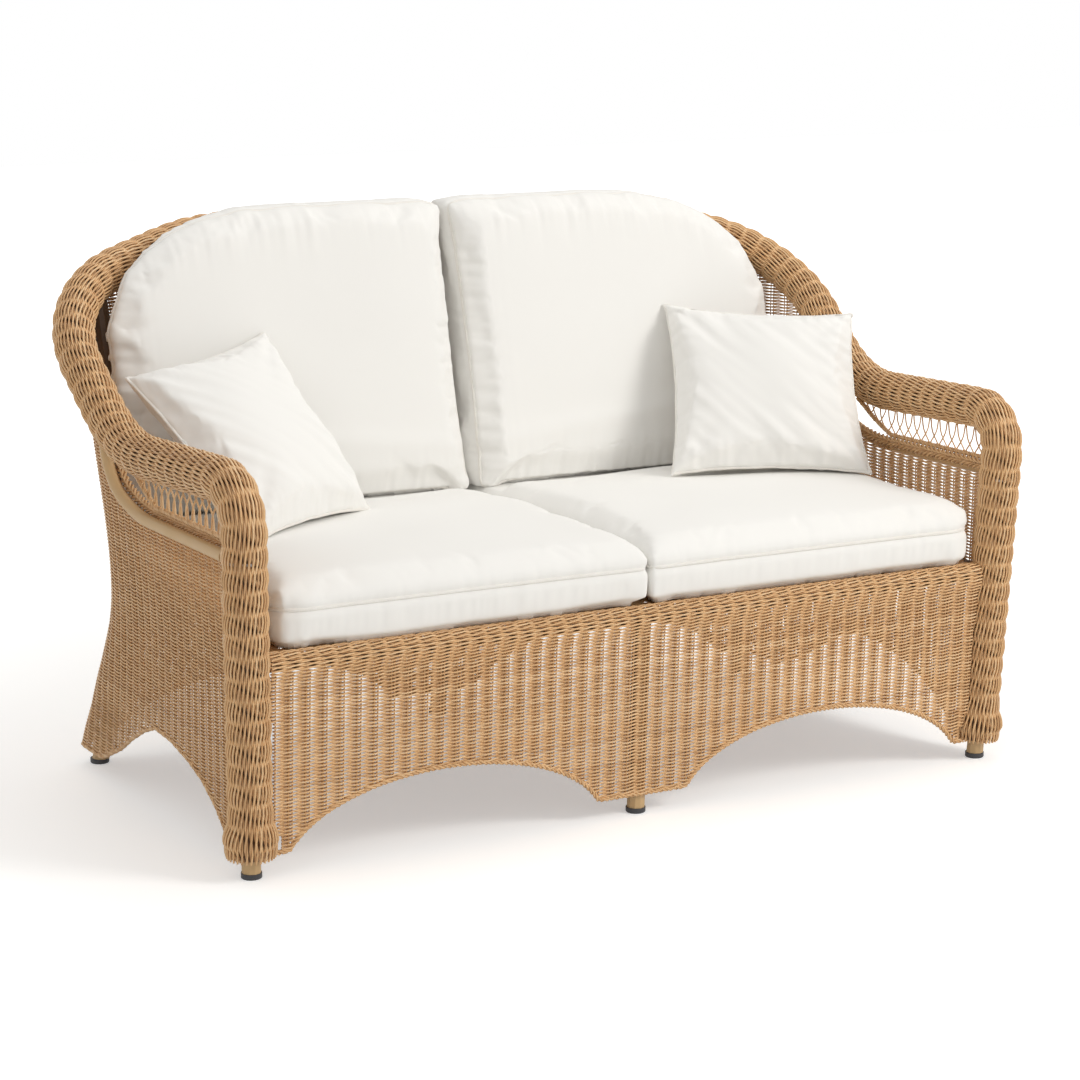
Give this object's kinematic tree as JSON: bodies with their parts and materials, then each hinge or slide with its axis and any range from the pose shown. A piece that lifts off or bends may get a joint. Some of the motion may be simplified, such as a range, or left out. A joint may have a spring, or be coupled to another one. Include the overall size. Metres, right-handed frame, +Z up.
{
  "type": "patio loveseat",
  "caption": "Woven resin-wicker loveseat with rolled arms and arched back, on a hidden tube frame, with lift-off seat, back and throw cushions.",
  "frame": {"origin": "on the floor, under the middle of the bounding box", "axes": "+X to the right hand of someone sitting on it turned round to face it (along the seat), +Y to the back, +Z up"},
  "size_m": [1.5358, 0.9006, 0.945],
  "materials": {
    "coated_tube": "tan powder coat on aluminium tube",
    "hoop": "bare hoops inside the roll",
    "wicker": "honey tan resin cane, woven",
    "wicker_trim": "honey tan resin cane, braided and latticed",
    "deck_weave": "flat resin strap, open plain weave",
    "foot_plastic": "dark moulded glide",
    "cushion_cloth": "warm white woven outdoor cloth with piped seams",
    "cushion_filling": "foam and fibre filling"
  },
  "bodies": {
    "frame": {"back_arch_tube": "coated_tube", "front_rail": "coated_tube", "rear_rail": "coated_tube", "centre_rail": "coated_tube", "front_centre_leg": "coated_tube", "rear_centre_leg": "coated_tube", "back_uprights": "coated_tube", "back_roll": "wicker", "back_weave": "wicker", "apron_weave": "wicker", "apron_braid": "wicker_trim", "seat_deck": "deck_weave", "foot_cap_front_centre": "foot_plastic", "foot_cap_rear_centre": "foot_plastic", "arm_tube_left": "coated_tube", "arm_tube_right": "coated_tube", "rear_leg_tube_left": "coated_tube", "rear_leg_tube_right": "coated_tube", "side_rail_left": "coated_tube", "side_rail_right": "coated_tube", "arm_roll_left": "wicker", "arm_roll_right": "wicker", "side_weave_left": "wicker", "side_weave_right": "wicker", "arm_band_left": "coated_tube", "arm_band_right": "coated_tube", "arm_braid_left": "wicker_trim", "arm_braid_right": "wicker_trim", "arm_lattice_left": "wicker_trim", "arm_lattice_right": "wicker_trim", "foot_cap_front_left": "foot_plastic", "foot_cap_front_right": "foot_plastic", "foot_cap_rear_left": "foot_plastic", "foot_cap_rear_right": "foot_plastic", "seat_slats_left": "coated_tube", "seat_slats_right": "coated_tube", "arm_spacer_left": "hoop", "arm_spacer_right": "hoop", "back_spacer_left": "hoop", "back_spacer_right": "hoop"},
    "seat_cushion_left": {"seat_cover_left": "cushion_cloth", "seat_foam_left": "cushion_filling"},
    "back_cushion_left": {"back_cover_left": "cushion_cloth", "back_fill_left": "cushion_filling"},
    "pillow_left": {"pillow_cover_left": "cushion_cloth", "pillow_fill_left": "cushion_filling"},
    "seat_cushion_right": {"seat_cover_right": "cushion_cloth", "seat_foam_right": "cushion_filling"},
    "back_cushion_right": {"back_cover_right": "cushion_cloth", "back_fill_right": "cushion_filling"},
    "pillow_right": {"pillow_cover_right": "cushion_cloth", "pillow_fill_right": "cushion_filling"}
  },
  "joints": [
    {"name": "seat_cushion_lift_left", "type": "slide", "parent": "frame", "child": "seat_cushion_left", "axis": [0, 0, 1], "range_m": [0, 0.6]},
    {"name": "back_cushion_lift_left", "type": "slide", "parent": "seat_cushion_left", "child": "back_cushion_left", "axis": [0, 0.1702, 0.9854], "range_m": [0, 0.52]},
    {"name": "pillow_lift_left", "type": "slide", "parent": "back_cushion_left", "child": "pillow_left", "axis": [0, -0.2425, 0.9701], "range_m": [0, 0.5]},
    {"name": "seat_cushion_lift_right", "type": "slide", "parent": "frame", "child": "seat_cushion_right", "axis": [0, 0, 1], "range_m": [0, 0.6]},
    {"name": "back_cushion_lift_right", "type": "slide", "parent": "seat_cushion_right", "child": "back_cushion_right", "axis": [0, 0.1702, 0.9854], "range_m": [0, 0.52]},
    {"name": "pillow_lift_right", "type": "slide", "parent": "back_cushion_right", "child": "pillow_right", "axis": [0, -0.2425, 0.9701], "range_m": [0, 0.5]}
  ]
}
